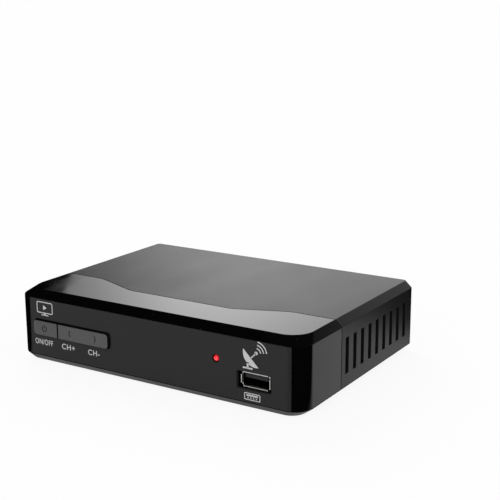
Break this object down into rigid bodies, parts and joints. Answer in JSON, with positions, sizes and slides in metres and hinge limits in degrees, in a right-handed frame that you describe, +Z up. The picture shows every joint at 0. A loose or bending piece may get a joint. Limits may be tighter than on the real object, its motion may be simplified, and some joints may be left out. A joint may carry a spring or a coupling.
{
  "type": "satellite television receiver",
  "caption": "Low black set-top box with a glossy wavy-edged front, smoked panel, sprung keys, a data port, vented sides and rear sockets.",
  "frame": {"origin": "on the ground under the middle of the bounding box", "axes": "+X to the right seen from the front, +Y to the rear panel, +Z up"},
  "size_m": [0.15, 0.1156, 0.0333],
  "materials": {
    "gloss_black": "high gloss moulded",
    "satin_black": "satin moulded",
    "smoked_panel": "smooth smoked panel with pale print",
    "key_grey": "satin dark grey",
    "red_lens": "clear red lens, lit",
    "dark_lens": "dark infrared filter",
    "black_plastic": "fine matt",
    "white_plastic": "plain white",
    "yellow_plastic": "plain yellow",
    "red_plastic": "plain red",
    "green_board": "glass-fibre board with green solder mask",
    "tinned_steel": "tinned sheet",
    "bright_metal": "bright nickel plate",
    "screw_steel": "blackened steel",
    "bare_aluminium": "bare extrusion",
    "ferrite": "pressed ferrite",
    "rubber": "matt rubber"
  },
  "bodies": {
    "chassis": {"front_bezel": "gloss_black", "top_cover": "satin_black", "bottom_shell": "satin_black", "front_panel": "smoked_panel", "status_light": "red_lens", "infrared_receiver": "dark_lens", "power_switch_body": "black_plastic", "channel_up_switch_body": "black_plastic", "channel_down_switch_body": "black_plastic", "board_link_header": "black_plastic", "status_light_spacer": "black_plastic", "data_port_tongue": "black_plastic", "video_socket_tongue": "black_plastic", "rear_panel": "black_plastic", "jack_block": "black_plastic", "power_inlet_body": "black_plastic", "processor": "black_plastic", "memory_chip_1": "black_plastic", "memory_chip_2": "black_plastic", "flash_chip": "black_plastic", "filter_capacitor_1": "black_plastic", "filter_capacitor_2": "black_plastic", "filter_capacitor_3": "black_plastic", "aerial_socket_core": "white_plastic", "left_sound_jack_core": "white_plastic", "picture_jack_core": "yellow_plastic", "right_sound_jack_core": "red_plastic", "key_board": "green_board", "main_board": "green_board", "tuner_can": "tinned_steel", "crystal_can": "tinned_steel", "data_port_shell": "bright_metal", "aerial_socket_barrel": "bright_metal", "aerial_socket_nut": "bright_metal", "video_socket_shell": "bright_metal", "right_sound_jack_barrel": "bright_metal", "left_sound_jack_barrel": "bright_metal", "picture_jack_barrel": "bright_metal", "power_inlet_pin": "bright_metal", "board_screw_1": "screw_steel", "board_screw_2": "screw_steel", "board_screw_3": "screw_steel", "board_screw_4": "screw_steel", "case_screw_1": "screw_steel", "case_screw_2": "screw_steel", "case_screw_3": "screw_steel", "case_screw_4": "screw_steel", "heat_sink": "bare_aluminium", "power_inductor": "ferrite", "rubber_foot_1": "rubber", "rubber_foot_2": "rubber", "rubber_foot_3": "rubber", "rubber_foot_4": "rubber"},
    "power_key": {"power_key": "key_grey"},
    "power_plunger": {"power_switch_plunger": "white_plastic"},
    "channel_rocker": {"channel_rocker": "key_grey"},
    "channel_up_plunger": {"channel_up_switch_plunger": "white_plastic"},
    "channel_down_plunger": {"channel_down_switch_plunger": "white_plastic"}
  },
  "joints": [
    {"name": "power_key_push", "type": "slide", "parent": "chassis", "child": "power_key", "axis": [0, 1, 0], "range_m": [0, 0.0005], "stiffness_N_per_m": 1500},
    {"name": "power_plunger_push", "type": "slide", "parent": "chassis", "child": "power_plunger", "axis": [0, 1, 0], "range_m": [0, 0.00025]},
    {"name": "channel_rocker_tilt", "type": "hinge", "parent": "chassis", "child": "channel_rocker", "pos_m": [-0.0357, -0.05315, 0.01685], "axis": [0, 0, 1], "range_deg": [-3.5, 3.5], "stiffness_Nm_per_rad": 0.15},
    {"name": "channel_up_plunger_push", "type": "slide", "parent": "chassis", "child": "channel_up_plunger", "axis": [0, 1, 0], "range_m": [0, 0.00025], "stiffness_N_per_m": 800},
    {"name": "channel_down_plunger_push", "type": "slide", "parent": "chassis", "child": "channel_down_plunger", "axis": [0, 1, 0], "range_m": [0, 0.00025], "stiffness_N_per_m": 800}
  ],
  "couplings": [
    {"joint": "power_plunger_push", "follows": "power_key_push", "ratio": 0.5}
  ]
}
